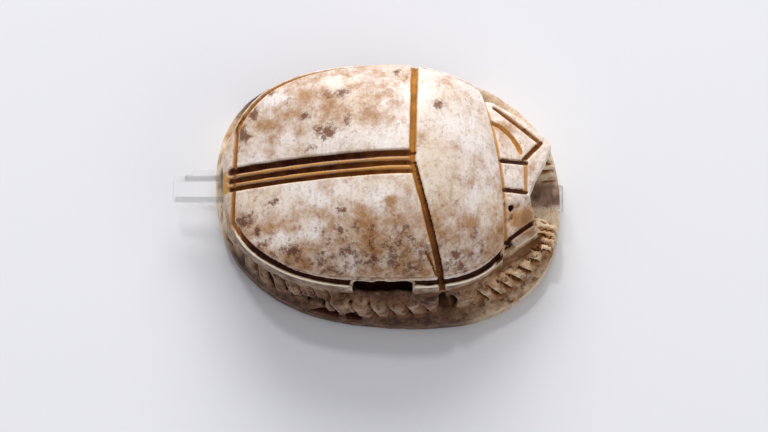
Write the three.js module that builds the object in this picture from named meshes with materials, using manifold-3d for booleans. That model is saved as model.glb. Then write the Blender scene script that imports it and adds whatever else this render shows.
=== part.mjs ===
// A small carved stone scarab and the clear rod that it is shown on.
// Millimetres. +X points to the head, +Z is up, and the flat underside lies on z = 0.
// The origin is the middle of that underside.
import * as THREE from 'three';
import { mergeVertices } from 'three/addons/utils/BufferGeometryUtils.js';
import Module from 'manifold-3d';

const wasm = await Module();
wasm.setup();

// ---------------------------------------------------------------- driving dimensions

const LENGTH = 18;

// The oval plate under the beetle. lean slides its middle line sideways towards the head.
const PLATE = { reach: LENGTH / 2, half: 6.9, power: 2.4, lean: -0.064, side: -0.1, thick: 1.45 };

// The back: wing cases and thorax, an oval dome with a border groove and a rim round it.
const BACK = {
  tail: 8.29,
  front: 6.95,
  half: 5.82,
  power: 2.6,
  peak: 8.1,
  peakX: 1.0,
  tailTop: 4.4,
  frontTop: 3.85,
};
const RIM = { out: 0.22, flank: 1.45, level: 5.1, tailDrop: 0.7, frontDrop: 1.25 };
const BORDER_GROOVE = { half: 0.09, deep: 0.24 };
const CORE_INSET = 1.1;
const CORE_FLOOR = 1.25;

// The seam between wing cases and thorax is a shallow V, carved a little out of square.
const SEAM = { x: 1.26, vee: 0.147, skew: -0.122, wide: 0.36, deep: 0.26 };
// The thorax ends in front in a low step down to the head.
const THORAX_END = { x: 5.85, skew: -0.125, bow: -0.022 };
// Three grooves run along the middle of the back.
const SPINE = { count: 3, pitch: 0.5, wide: 0.3, deep: 0.22, turn: -0.004, side: -0.06 };

// The head is a low block with bevelled cheeks. Its middle is a little off the axis.
const HEAD = { back: 4.7, front: 8.65, middle: 0.12, top: 4.9, fall: 0.42, round: 0.07 };
const HEAD_LINE = { wide: 0.26, deep: 0.2 };

// The bore from tail to head and the clear square rod in it.
const BORE = { radius: 0.95, z: 2.4, sides: 20 };
const ROD = { size: 1.15, z: 2.37, tail: -11.25, head: 9.15, bendX: 7.0, bendY: -0.52 };

const FINEST = 0.004;
const radians = (degrees) => (degrees * Math.PI) / 180;

// ---------------------------------------------------------------- small helpers

/** 0 below low, 1 above high, and a smooth rise between them. */
function rise(value, low, high) {
  const t = Math.min(1, Math.max(0, (value - low) / (high - low)));
  return t * t * (3 - 2 * t);
}

const mix = (a, b, t) => a + (b - a) * t;

/** Turns a closed three.js geometry into a solid, facing outwards. */
function solid(geometry) {
  const shape = geometry.clone();
  shape.deleteAttribute('normal');
  shape.deleteAttribute('uv');
  const merged = mergeVertices(shape, 1e-5);
  const place = merged.getAttribute('position');
  const index = Uint32Array.from(merged.getIndex().array);
  const corner = [new THREE.Vector3(), new THREE.Vector3(), new THREE.Vector3()];
  const kept = [];
  let volume = 0;
  for (let i = 0; i < index.length; i += 3) {
    const [a, b, c] = [index[i], index[i + 1], index[i + 2]];
    if (a === b || b === c || c === a) continue;
    corner.forEach((point, k) => point.fromBufferAttribute(place, index[i + k]));
    volume += corner[0].dot(corner[1].cross(corner[2]));
    kept.push(a, b, c);
  }
  if (volume < 0) kept.reverse();
  const mesh = new wasm.Mesh({
    numProp: 3,
    vertProperties: Float32Array.from(place.array),
    triVerts: Uint32Array.from(kept),
  });
  return new wasm.Manifold(mesh);
}

/** Turns a solid back into a three.js geometry, without slivers finer than anyone can carve. */
function geometryOf(body) {
  const mesh = body.simplify(FINEST).getMesh();
  const geometry = new THREE.BufferGeometry();
  geometry.setAttribute('position', new THREE.Float32BufferAttribute(mesh.vertProperties, 3));
  geometry.setIndex(Array.from(mesh.triVerts));
  geometry.computeVertexNormals();
  return geometry;
}

/** Moves each vertex of a geometry to where place(x, y, z) says. */
function reshape(geometry, place) {
  const position = geometry.getAttribute('position');
  for (let i = 0; i < position.count; i += 1) {
    const [x, y, z] = place(position.getX(i), position.getY(i), position.getZ(i));
    position.setXYZ(i, x, y, z);
  }
  return geometry;
}

/** A box bent to shape. place gets along, across and up, each from 0 to 1. */
function bentBox(steps, place) {
  const box = new THREE.BoxGeometry(1, 1, 1, steps, 1, 1);
  return solid(reshape(box, (x, y, z) => place(x + 0.5, y + 0.5, z + 0.5)));
}

/** Distance from the middle of an oval to its edge, in the direction of an angle. */
function ovalRadius(angle, reach, half, power) {
  const along = Math.abs(Math.cos(angle) / reach) ** power;
  const across = Math.abs(Math.sin(angle) / half) ** power;
  return (along + across) ** (-1 / power);
}

/** A point in plan, set in from the plate's edge by inset. */
function platePoint(angle, inset) {
  const radius = ovalRadius(angle, PLATE.reach, PLATE.half, PLATE.power) - inset;
  const x = radius * Math.cos(angle);
  return [x, radius * Math.sin(angle) + PLATE.side + PLATE.lean * x];
}

/**
 * A solid of stacked rings. ring(k, angle) gives the point of ring k at an angle, and the first
 * and the last ring are single points on the axis.
 */
function ringStack(rings, segments, ring) {
  const profile = [];
  for (let k = 0; k < rings; k += 1) {
    const onAxis = k === 0 || k === rings - 1;
    profile.push(new THREE.Vector2(onAxis ? 0 : 1, k));
  }
  const lathe = new THREE.LatheGeometry(profile, segments);
  return solid(reshape(lathe, (x, y, z) => ring(Math.round(y), Math.atan2(z, x))));
}

/** A groove cutter along a plan curve, lying on the surface top(x, y). */
function grooveCutter(curve, steps, line, top) {
  const lift = 0.25;
  return bentBox(steps, (along, across, up) => {
    const point = curve.getPoint(along);
    const aim = curve.getTangent(along);
    const wide = up > 0.5 ? line.wide * 1.5 : line.wide * 0.4;
    const offset = (across - 0.5) * wide;
    const x = point.x - aim.y * offset;
    const y = point.y + aim.x * offset;
    return [x, y, top(point.x, point.y) + (up > 0.5 ? lift : -line.deep)];
  });
}

// ---------------------------------------------------------------- plate

function makePlate() {
  const worn = 0.2;
  // Each level is a height and how far the edge is set in there.
  const levels = [
    [0, null],
    [0, worn],
    [worn, 0],
    [PLATE.thick - worn, 0],
    [PLATE.thick, worn],
    [PLATE.thick, null],
  ];
  return ringStack(levels.length, 88, (k, angle) => {
    const [z, inset] = levels[k];
    if (inset === null) return [0, PLATE.side, z];
    return [...platePoint(angle, inset), z];
  });
}

// ---------------------------------------------------------------- back

/** Height of the border groove round the back. */
function rimLevel(x) {
  return RIM.level - RIM.tailDrop * rise(-x, 6, 8.3) - RIM.frontDrop * rise(x, 1, 5.5);
}

/** Height of the back along its middle line. */
function crest(x) {
  if (x < BACK.peakX) {
    const t = Math.min(1, (BACK.peakX - x) / (BACK.peakX + BACK.tail));
    return mix(BACK.tailTop, BACK.peak, 1 - t ** 1.6);
  }
  const t = Math.min(1, (x - BACK.peakX) / (BACK.front - BACK.peakX));
  return mix(BACK.frontTop, BACK.peak, 1 - t * t);
}

/** Half the width of the back inside its border groove. */
function backHalf(x) {
  const t = Math.min(1, Math.abs(x) / (x < 0 ? BACK.tail : BACK.front));
  return BACK.half * (1 - t ** BACK.power) ** (1 / BACK.power);
}

/** Height of the uncut back at a point in plan. */
function backTop(x, y) {
  const half = Math.max(backHalf(x), 1e-3);
  const t = Math.min(1, Math.abs(y) / half);
  const edge = rimLevel(x);
  return edge + Math.max(0, crest(x) - edge) * (1 - t ** 2.2) ** (1 / 2.2);
}

function backPoint(angle, offset) {
  const reach = Math.cos(angle) < 0 ? BACK.tail : BACK.front;
  const radius = ovalRadius(angle, reach, BACK.half, BACK.power) + offset;
  return [radius * Math.cos(angle), radius * Math.sin(angle)];
}

function makeBack() {
  const shares = [0, 0.14, 0.28, 0.42, 0.55, 0.66, 0.76, 0.84, 0.9, 0.95, 0.985];
  const groove = BORDER_GROOVE;
  // Below the dome: the border groove, the rim, its flank, the undercut and the core.
  const edge = (angle, x) => {
    const level = rimLevel(x);
    // 1 along the sides, where the rim overhangs, and 0 at the tail and under the head.
    const side = rise(Math.abs(Math.sin(angle)), 0.3, 0.48);
    return [
      [-groove.half, level - 0.02],
      [-groove.half / 2, level - groove.deep],
      [groove.half / 2, level - groove.deep],
      [groove.half * 1.4, level - 0.1],
      [RIM.out, level - 0.24],
      [mix(0.4, RIM.out + 0.05, side), mix(2.9, level - RIM.flank, side)],
      [mix(0.56, -CORE_INSET, side), mix(2.0, level - RIM.flank - 0.15, side)],
      [mix(0.62, -CORE_INSET, side), CORE_FLOOR],
    ];
  };
  const below = edge(0, 0).length;
  const rings = shares.length + below + 1;
  return ringStack(rings, 84, (k, angle) => {
    if (k === 0) return [0, 0, backTop(0, 0)];
    if (k === rings - 1) return [0, 0, CORE_FLOOR];
    const [edgeX, edgeY] = backPoint(angle, 0);
    if (k < shares.length) {
      const [x, y] = [edgeX * shares[k], edgeY * shares[k]];
      return [x, y, backTop(x, y)];
    }
    const [offset, z] = edge(angle, edgeX)[k - shares.length];
    return [...backPoint(angle, offset), z];
  });
}

/** x of the seam between wing cases and thorax. */
const seamX = (y) => SEAM.x + SEAM.vee * Math.abs(y) + SEAM.skew * y;

/** x of the front edge of the thorax. */
const thoraxEndX = (y) => THORAX_END.x + THORAX_END.skew * y + THORAX_END.bow * y * y;

/** Takes away what lies in front of the thorax, where the head goes. */
function thoraxEndCutter() {
  const half = 6.6;
  return bentBox(14, (along, across, up) => {
    const y = mix(-half, half, along);
    const x = across > 0.5 ? thoraxEndX(y) : LENGTH;
    return [x, y, up > 0.5 ? BACK.peak + 1 : CORE_FLOOR - 1];
  });
}

/** The seam runs over the back and down through the rim on both sides. */
function seamCutters() {
  const reach = BACK.half + 0.6;
  return [-1, 1].map((hand) => {
    const curve = new THREE.LineCurve(
      new THREE.Vector2(seamX(hand * -0.01), hand * -0.01),
      new THREE.Vector2(seamX(hand * reach), hand * reach),
    );
    const top = (x, y) => Math.max(backTop(x, y), rimLevel(x) - 0.1) - rise(Math.abs(y), 5.75, 6.1);
    return grooveCutter(curve, 22, SEAM, top);
  });
}

/** The lines along the middle of the back, from the tail groove to the seam. */
function spineCutters() {
  const cutters = [];
  for (let i = 0; i < SPINE.count; i += 1) {
    const y = (i - (SPINE.count - 1) / 2) * SPINE.pitch + SPINE.side;
    const tailX = -BACK.tail + 0.1;
    const curve = new THREE.LineCurve(
      new THREE.Vector2(tailX, y - SPINE.turn * tailX),
      new THREE.Vector2(seamX(y) + 0.05, y),
    );
    cutters.push(grooveCutter(curve, 16, SPINE, backTop));
  }
  return cutters;
}

/** A short notch in front of the seam at each shoulder. */
function shoulderCutters() {
  const line = { wide: 0.24, deep: 0.18 };
  return [-1, 1].map((hand) => {
    const start = new THREE.Vector2(seamX(hand * 4.5) - 0.55, hand * 4.5);
    const end = new THREE.Vector2(seamX(hand * 5.4) - 0.25, hand * 5.4);
    return grooveCutter(new THREE.LineCurve(start, end), 5, line, backTop);
  });
}

/** The rim is lost along part of the right side, where the undercut shows open. */
function lostRim() {
  const tailEnd = -1.9;
  const headEnd = 1.3;
  const reach = 1.2;
  return bentBox(8, (along, across, up) => {
    // Its tail end is broken off aslant, and its inner face leans in under the wing case.
    const slant = across > 0.5 ? 0 : 0.25;
    const x = mix(tailEnd + slant, headEnd, along);
    const broken = 0.04 + 0.05 * Math.sin(along * 17);
    const inner = -backHalf(x) + broken + (up > 0.5 ? 0 : reach);
    return [x, across > 0.5 ? inner : inner - 2 * reach, up > 0.5 ? RIM.level + 0.2 : 2.2];
  });
}

// ---------------------------------------------------------------- head

/** Height of the uncut head at a point in plan. */
function headTop(x, y) {
  const side = y - HEAD.middle;
  return HEAD.top - HEAD.fall * (x - THORAX_END.x) - HEAD.round * side * side;
}

/** A prism of a plan outline, from low to high. */
function prism(outline, low, high) {
  const shape = new THREE.Shape(outline.map(([x, y]) => new THREE.Vector2(x, y)));
  const geometry = new THREE.ExtrudeGeometry(shape, { depth: high - low, bevelEnabled: false });
  geometry.translate(0, 0, low);
  return solid(geometry);
}

function makeHead() {
  const m = HEAD.middle;
  // Cheeks run in from the thorax to the corners of the front shield.
  const half = [
    [HEAD.back, 4.2],
    [5.45, 4.15],
    [6.7, 3.5],
    [8.1, 2.45],
    [8.5, 2.05],
    [HEAD.front, 1.1],
  ];
  const right = half.map(([x, y]) => [x, m - y]);
  const left = half.map(([x, y]) => [x, m + y]).reverse();
  const sides = prism([...right, ...left], CORE_FLOOR, 7);
  const dome = new THREE.BoxGeometry(1, 1, 1, 8, 12, 1);
  const domed = solid(reshape(dome, (x, y, z) => {
    const px = mix(HEAD.back - 0.5, HEAD.front + 0.5, x + 0.5);
    const py = mix(-5.5, 5.5, y + 0.5);
    return [px, py, z > 0 ? headTop(px, py) : CORE_FLOOR - 1];
  }));
  return sides.intersect(domed);
}

/** The lines that part the head into its plates, one set mirrored to both sides. */
function headCutters() {
  const m = HEAD.middle;
  const point = ([x, y], hand) => new THREE.Vector2(x, m + hand * y);
  const straight = (a, b, hand) => new THREE.LineCurve(point(a, hand), point(b, hand));
  const curved = (list, hand) => new THREE.SplineCurve(list.map((p) => point(p, hand)));
  const curves = [[straight([7.2, -0.75], [7.2, 0.75], 1), 3]];
  for (const hand of [-1, 1]) {
    curves.push([straight([5.7, 0.78], [7.2, 0.78], hand), 3]);
    curves.push([curved([[5.2, 3.0], [5.85, 2.72], [6.45, 2.2], [6.95, 1.35]], hand), 8]);
    curves.push([straight([5.55, 3.85], [7.98, 2.02], hand), 6]);
    curves.push([straight([7.98, 2.02], [7.1, 0.95], hand), 4]);
  }
  return curves.map(([curve, steps]) => grooveCutter(curve, steps, HEAD_LINE, headTop));
}

/** The right half of the front shield is broken off, down to the plate, along a slanting line. */
function lostShield() {
  const outline = [
    [7.38, -0.75],
    [8.56, 2.0],
    [9.6, 2.2],
    [9.6, -3.4],
    [8.0, -2.75],
    [7.68, -2.3],
    [7.62, -1.6],
  ];
  return prism(outline, PLATE.thick, 7);
}

// ---------------------------------------------------------------- legs

// Along one rib: where each corner is and how far it stands out.
const RIB = [
  [0, 0],
  [0.16, 1],
  [0.78, 1],
  [0.94, 0],
];

// The legs on the left side, hand 1, are drawn in by this much and are a little lower.
const LEFT_LEGS = { drawnIn: 0.42, lower: 0.15 };

// Behind the legs a bank of plain stone rises this much on its way in, this far from the edge.
const BANK = { inner: 3.9, rise: 0.45, step: 9, overlap: 0.7 };

/** How far a leg is drawn in from the plate's edge, and how much lower it is, on one side. */
function legShift(hand, leg) {
  if (leg.toes) return { drawnIn: -0.12, lower: 0 };
  return hand > 0 ? LEFT_LEGS : { drawnIn: 0, lower: 0 };
}

/** A stretch of leg along the plate's edge. Angles in degrees, 180 at the tail, 0 at the head. */
function legStretch(hand, leg) {
  const { drawnIn, lower } = legShift(hand, leg);
  const steps = leg.ribs * RIB.length;
  return bentBox(steps, (along, across, up) => {
    const corner = Math.round(along * steps);
    const [share, out] = corner === steps ? [0, 0] : RIB[corner % RIB.length];
    const t = (Math.floor(corner / RIB.length) + share) / leg.ribs;
    const low = mix(leg.low[0], leg.low[1], t);
    const high = mix(leg.high[0], leg.high[1], t) - lower - (1 - out) * leg.notch * 0.5;
    const slant = leg.slant * (up - 0.5);
    const angle = radians(mix(leg.from, leg.to, t) + slant) * hand;
    const lean = up > 0.5 ? mix(leg.lean[0], leg.lean[1], t) : 0;
    const face = drawnIn + mix(leg.inset[0], leg.inset[1], t) + (1 - out) * leg.notch + lean;
    const inner = face + (up > 0.5 ? leg.thick * 0.6 : leg.thick);
    return [...platePoint(angle, across > 0.5 ? face : inner), up > 0.5 ? high : low];
  });
}

/** The plain stone behind a stretch of leg, from its ribs in to the core. */
function legBank(hand, leg) {
  const { drawnIn, lower } = legShift(hand, leg);
  const steps = Math.ceil((leg.from - leg.to) / BANK.step);
  const [start, end] = [leg.from + BANK.overlap, leg.to - BANK.overlap];
  return bentBox(steps, (along, across, up) => {
    const angle = radians(mix(start, end, along)) * hand;
    const outer = across > 0.5;
    const inset = outer ? drawnIn + mix(leg.bank.inset[0], leg.bank.inset[1], along) : BANK.inner;
    const top = mix(leg.bank.top[0], leg.bank.top[1], along) - lower + (outer ? 0 : BANK.rise);
    return [...platePoint(angle, inset), up > 0.5 ? top : SUNK];
  });
}

const SUNK = PLATE.thick - 0.25;
const LEGS = [
  // hind leg: its ribs stand on the plate at the tail and rise to slip under the rim
  { from: 168, to: 146, ribs: 3, inset: [0.12, 0.02], low: [SUNK, SUNK], high: [3.2, 3.6], thick: 3.2,
    notch: 0.12, slant: 5, lean: [0.3, 0.5], bank: { inset: [0.6, 0.5], top: [1.5, 1.55] } },
  { from: 146, to: 114, ribs: 5, inset: [0.02, 0.55], low: [SUNK, 3.2], high: [3.6, 3.9], thick: 3.2,
    notch: 0.12, slant: 5, lean: [0.5, 0.2], bank: { inset: [0.35, 0.35], top: [1.55, 1.8] } },
  // middle leg: thigh, ribbed shin and knee
  { from: 117, to: 106, ribs: 1, inset: [0.1, 0.1], low: [SUNK, SUNK], high: [3.2, 3.2], thick: 0.75,
    notch: 0.2, slant: 0, lean: [0.15, 0.15], bank: { inset: [0.35, 0.3], top: [3.0, 3.1] } },
  { from: 105, to: 73, ribs: 4, inset: [0.1, 0.5], low: [SUNK, SUNK], high: [3.0, 3.15], thick: 0.5,
    notch: 0.25, slant: 4, lean: [0.05, 0.1], bank: { inset: [0.3, 0.7], top: [3.0, 3.1] } },
  { from: 73, to: 66, ribs: 1, inset: [0.5, 0.6], low: [SUNK, SUNK], high: [3.4, 3.4], thick: 0.7,
    notch: 0.2, slant: 0, lean: [0.15, 0.15], bank: { inset: [0.8, 0.9], top: [3.3, 3.2] } },
  // front leg: thigh, ribbed shin and the toes beside the bore
  { from: 60, to: 47.5, ribs: 1, inset: [0.62, 0.58], low: [SUNK, SUNK], high: [3.3, 3.25], thick: 0.75,
    notch: 0.2, slant: 0, lean: [0.3, 0.3], bank: { inset: [1.1, 1.0], top: [3.25, 3.2] } },
  { from: 47.5, to: 18.5, ribs: 6, inset: [0.55, 0.3], low: [SUNK, SUNK], high: [3.1, 2.7], thick: 0.6,
    notch: 0.25, slant: 3, lean: [0.35, 0.3], bank: { inset: [1.05, 0.8], top: [3.1, 2.6] } },
  { from: 18.5, to: 8, ribs: 4, inset: [0.1, 0.12], low: [SUNK, SUNK], high: [2.6, 2.5], thick: 0.9,
    notch: 0.2, slant: 0, lean: [0.1, 0.1], bank: { inset: [0.7, 0.7], top: [2.5, 2.4] }, toes: true },
];

// ---------------------------------------------------------------- the two pieces

function makeScarab() {
  let back = makeBack().subtract(thoraxEndCutter());
  for (const cutter of [...seamCutters(), ...spineCutters(), ...shoulderCutters(), lostRim()]) {
    back = back.subtract(cutter);
  }
  let head = makeHead();
  for (const cutter of [...headCutters(), lostShield()]) head = head.subtract(cutter);
  let body = back.add(head).add(makePlate());
  for (const hand of [-1, 1]) {
    for (const leg of LEGS) body = body.add(legStretch(hand, leg)).add(legBank(hand, leg));
  }
  const bore = new THREE.CylinderGeometry(BORE.radius, BORE.radius, LENGTH + 4, BORE.sides);
  bore.rotateZ(Math.PI / 2).translate(0, 0, BORE.z);
  return body.subtract(solid(bore));
}

/** The square rod through the bore, bent aside at the head end, with a flared end at the tail. */
function makeRod() {
  const half = ROD.size / 2;
  const bar = bentBox(8, (along, across, up) => {
    const x = mix(ROD.tail, ROD.head, along);
    const y = ROD.bendY * rise(x, ROD.bendX, ROD.head + 1.5) * 1.6;
    return [x, y + (across - 0.5) * ROD.size, ROD.z + (up - 0.5) * ROD.size];
  });
  // The flare: its left edge steps out, its right edge slopes out, up to the stone.
  const flare = prism(
    [
      [ROD.tail + 0.05, -half + 0.02],
      [-10.6, -half - 0.1],
      [-9.05, -1.08],
      [-9.05, 0.92],
      [-10.1, 0.98],
      [-10.6, half - 0.02],
    ],
    ROD.z - half + 0.03,
    ROD.z + half - 0.03,
  );
  return bar.add(flare);
}

const steatite = new THREE.MeshStandardMaterial({ color: '#dccbb8', roughness: 0.5, metalness: 0 });
steatite.name = 'glazed steatite';
const acrylic = new THREE.MeshStandardMaterial({ color: '#eef1f4', roughness: 0.08, metalness: 0 });
acrylic.name = 'clear acrylic';

function piece(name, body, material) {
  const mesh = new THREE.Mesh(geometryOf(body), material);
  mesh.name = name;
  return mesh;
}

const amulet = new THREE.Group();
amulet.add(piece('scarab', makeScarab(), steatite));
amulet.add(piece('mount_rod', makeRod(), acrylic));

export default amulet;
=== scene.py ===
# %% [markdown]
# # A carved stone scarab on a clear rod
#
# The real object is a beetle amulet a little under two centimetres long, cut from one piece of
# soft steatite and glazed. The glaze has worn to a pale cream, and brown earth stays in the cut
# lines. A clear acrylic rod runs through its bore. The measured solids come from the frame, and
# this script gives them their carved surface, their finish, a floor, light and a camera.

# %% Load the frame
import math

import bmesh
import bpy
import numpy as np
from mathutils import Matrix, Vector
from mathutils.bvhtree import BVHTree


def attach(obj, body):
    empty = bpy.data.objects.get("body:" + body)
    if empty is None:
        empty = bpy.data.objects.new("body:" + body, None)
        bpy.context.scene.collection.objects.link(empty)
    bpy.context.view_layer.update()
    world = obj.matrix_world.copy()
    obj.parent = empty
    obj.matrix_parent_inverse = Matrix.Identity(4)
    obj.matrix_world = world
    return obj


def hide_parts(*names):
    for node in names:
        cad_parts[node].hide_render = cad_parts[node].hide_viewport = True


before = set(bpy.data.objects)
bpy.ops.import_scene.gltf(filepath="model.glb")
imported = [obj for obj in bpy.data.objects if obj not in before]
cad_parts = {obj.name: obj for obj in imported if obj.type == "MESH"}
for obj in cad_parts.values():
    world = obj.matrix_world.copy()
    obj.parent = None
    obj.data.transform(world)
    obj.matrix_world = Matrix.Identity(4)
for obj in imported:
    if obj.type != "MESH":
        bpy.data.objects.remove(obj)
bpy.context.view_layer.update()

MM = 0.001
print("nodes:", sorted(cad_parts))

# %% [markdown]
# ## Camera
#
# The amulet is seen from almost straight above, from the beetle's right side, so that its legs
# just show. A small thing in a case is taken with a long lens from some way off, which keeps its
# sides nearly parallel. The lens is worked out from the width that the view has to hold.

# %% Camera
VIEW_ELEVATION = math.radians(75)
VIEW_WIDTH = 40.3 * MM
VIEW_DISTANCE = 0.8
AIM_RIGHT = -0.21 * MM
AIM_UP = -0.79 * MM

view_up = Vector((0, math.sin(VIEW_ELEVATION), math.cos(VIEW_ELEVATION)))
view_back = Vector((0, -math.cos(VIEW_ELEVATION), math.sin(VIEW_ELEVATION)))
camera_data = bpy.data.cameras.new("camera")
camera = bpy.data.objects.new("camera", camera_data)
bpy.context.scene.collection.objects.link(camera)
camera.location = Vector((AIM_RIGHT, 0, 0)) + view_up * AIM_UP + view_back * VIEW_DISTANCE
camera.rotation_euler = (math.pi / 2 - VIEW_ELEVATION, 0, 0)
camera_data.sensor_width = 36
camera_data.lens = camera_data.sensor_width * VIEW_DISTANCE / VIEW_WIDTH
camera_data.clip_start = 0.01
bpy.context.scene.camera = camera
print(f"lens {camera_data.lens:.0f} mm from {VIEW_DISTANCE} m")

# %% [markdown]
# ## Materials: three helpers
#
# Colours are written as they look on a screen, in sRGB hex. Blender works in linear light, so one
# function turns them. The second adds a node, sets it and links it in one line. The third starts
# a material, with its coordinates scaled so that every noise size can be given in millimetres.

# %% Helpers for materials


def linear(colour, alpha=1.0):
    """An sRGB hex colour as linear RGBA."""
    parts = [int(colour[i : i + 2], 16) / 255 for i in (1, 3, 5)]
    bent = [c / 12.92 if c <= 0.04045 else ((c + 0.055) / 1.055) ** 2.4 for c in parts]
    return (*bent, alpha)


def add_node(tree, kind, inputs=None, **settings):
    """Adds a node. inputs maps a socket's name or number to a value or another node's output."""
    made = tree.nodes.new(kind)
    for name, value in settings.items():
        setattr(made, name, value)
    for socket, value in (inputs or {}).items():
        if isinstance(value, bpy.types.NodeSocket):
            tree.links.new(value, made.inputs[socket])
        else:
            made.inputs[socket].default_value = value
    return made


def new_material(name):
    """An empty material with its shader and its coordinates in millimetres."""
    material = bpy.data.materials.new(name)
    material.use_nodes = True
    tree = material.node_tree
    shader = tree.nodes["Principled BSDF"]
    place = add_node(tree, "ShaderNodeTexCoord")
    in_mm = add_node(
        tree, "ShaderNodeMapping", {"Vector": place.outputs["Object"], "Scale": (1 / MM,) * 3}
    )
    return material, tree, shader, in_mm.outputs["Vector"]


# %% [markdown]
# ## Carving helpers
#
# A carver's marks are all distances: how far a point lies from a cut line, from the rim or from a
# dent. So the surface is kept as an array of points, and each cut is a function of that distance.
# The noise is a lattice of fixed random values, blended smoothly, so each run gives the same stone.

# %% Noise and distances
LATTICE_SIDE = 32
LATTICE = np.random.default_rng(7).random((LATTICE_SIDE,) * 3)
OCTAVE_SHIFT = 11.3


def smooth_step(value, low, high):
    t = np.clip((value - low) / (high - low), 0, 1)
    return t * t * (3 - 2 * t)


def stone_noise(points, size, octaves=3, shift=0.0):
    """Noise from -1 to 1 at points in mm, with patches about size mm across.

    Each octave has half the size and half the weight of the one before.
    """
    total = np.zeros(len(points))
    weight = 1.0
    weights = 0.0
    for _ in range(octaves):
        place = points / size + shift
        cell = np.floor(place).astype(int)
        part = place - cell
        part = part * part * (3 - 2 * part)
        value = np.zeros(len(points))
        for corner in np.ndindex(2, 2, 2):
            share = np.ones(len(points))
            for axis in range(3):
                share = share * (part[:, axis] if corner[axis] else 1 - part[:, axis])
            i, j, k = ((cell + corner) % LATTICE_SIDE).T
            value += share * LATTICE[i, j, k]
        total += weight * (2 * value - 1)
        weights += weight
        weight *= 0.5
        size *= 0.5
        shift += OCTAVE_SHIFT
    return total / weights


def line_distance(x, y, points):
    """Distance in plan from each x, y to a line through the points."""
    best = np.full(len(x), np.inf)
    for (ax, ay), (bx, by) in zip(points, points[1:]):
        dx, dy = bx - ax, by - ay
        t = np.clip(((x - ax) * dx + (y - ay) * dy) / (dx * dx + dy * dy), 0, 1)
        best = np.minimum(best, np.hypot(x - ax - t * dx, y - ay - t * dy))
    return best


print("noise from", LATTICE.size, "fixed values")

# %% [markdown]
# ## Where the parts of the beetle are
#
# These are the same few dimensions that the solid is built from, in millimetres: the oval back
# inside its border groove, the level of its rim, the seam behind the thorax, the thorax's front
# edge, and the middle line of the head.

# %% The beetle's plan
BACK = {"tail": 8.29, "front": 6.95, "half": 5.82, "power": 2.6}
PLATE = {"tail": 9.0, "front": 9.0, "half": 6.9, "power": 2.4}
PLATE_TOP = 1.45
RIM_FLANK = 1.45
HEAD_MIDDLE = 0.12
BORE_HEIGHT, BORE_RADIUS = 2.4, 0.95
SEAM_MIDDLE, SEAM_BEND, SEAM_SLANT = 1.26, 0.147, 0.122
THORAX_END, THORAX_SLANT, THORAX_ROUND = 5.85, 0.125, 0.022
RIM_HIGH, RIM_DIP_TAIL, RIM_DIP_HEAD = 5.1, 0.7, 1.25
PLATE_SHIFT, PLATE_LEAN = 0.1, 0.064


def seam_x(y):
    """The seam behind the thorax is a shallow V, a little out of square."""
    return SEAM_MIDDLE + SEAM_BEND * np.abs(y) - SEAM_SLANT * y


def thorax_end_x(y):
    """The thorax's front edge is a slanting arc."""
    return THORAX_END - THORAX_SLANT * y - THORAX_ROUND * y * y


def rim_level(x):
    """Height of the border groove. It dips at the tail and towards the head."""
    at_tail = smooth_step(-x, 6, 8.3)
    at_head = smooth_step(x, 1, 5.5)
    return RIM_HIGH - RIM_DIP_TAIL * at_tail - RIM_DIP_HEAD * at_head


def past_oval(x, y, oval=BACK):
    """How far a point in plan lies outside an oval, measured away from its middle."""
    reach = np.where(x < 0, oval["tail"], oval["front"])
    power = oval["power"]
    level = (np.abs(x) / reach) ** power + (np.abs(y) / oval["half"]) ** power
    return np.hypot(x, y) * (1 - np.maximum(level, 1e-6) ** (-1 / power))


def across_plate(x, y):
    """Distance from the plate's middle line, which leans a little."""
    return y + PLATE_SHIFT + PLATE_LEAN * x


print("on the middle line, in mm: seam", seam_x(0), "thorax's front edge", thorax_end_x(0))

# %% [markdown]
# ## The stone: a fine skin on the measured solid
#
# The solid from the frame has the right form in flat facets. A copy is merged and remeshed into
# small even squares, which can be cut like stone. The dome is relaxed, so its facets and its
# copied lines go, because they are cut again, finer, below. Then the carved places are divided
# once more, the legs are laid back on the solid, and the flat underside becomes one face again.

# %% Remesh the stone
VOXEL = 0.14 * MM
MERGE_WITHIN = 0.001 * MM


def joined(bm, name):
    """Turns a bmesh into an object in the scene."""
    mesh = bpy.data.meshes.new(name)
    bm.to_mesh(mesh)
    bm.free()
    made = bpy.data.objects.new(name, mesh)
    bpy.context.scene.collection.objects.link(made)
    return made


def merged_copy(source):
    """A CAD node's mesh as a bmesh, with the points of its facets joined."""
    bm = bmesh.new()
    bm.from_mesh(source.data)
    bmesh.ops.remove_doubles(bm, verts=bm.verts, dist=MERGE_WITHIN)
    return bm


def remeshed(source, name, voxel):
    """A merged copy of a CAD node's mesh, remeshed to even squares."""
    made = joined(merged_copy(source), name)
    remesh = made.modifiers.new("even squares", "REMESH")
    remesh.mode = "VOXEL"
    remesh.voxel_size = voxel
    evaluated = made.evaluated_get(bpy.context.evaluated_depsgraph_get())
    made.data = bpy.data.meshes.new_from_object(evaluated)
    made.modifiers.clear()
    return made


stone = remeshed(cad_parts["scarab"], "carved_scarab", VOXEL)
print("stone skin:", len(stone.data.vertices), "points")

# %% The skin as an array
# How far one round of smoothing moves a point, as a share of its way to its neighbours' mean.
EASE = 0.6
SMOOTH_DOME_ROUNDS = 70


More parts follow.
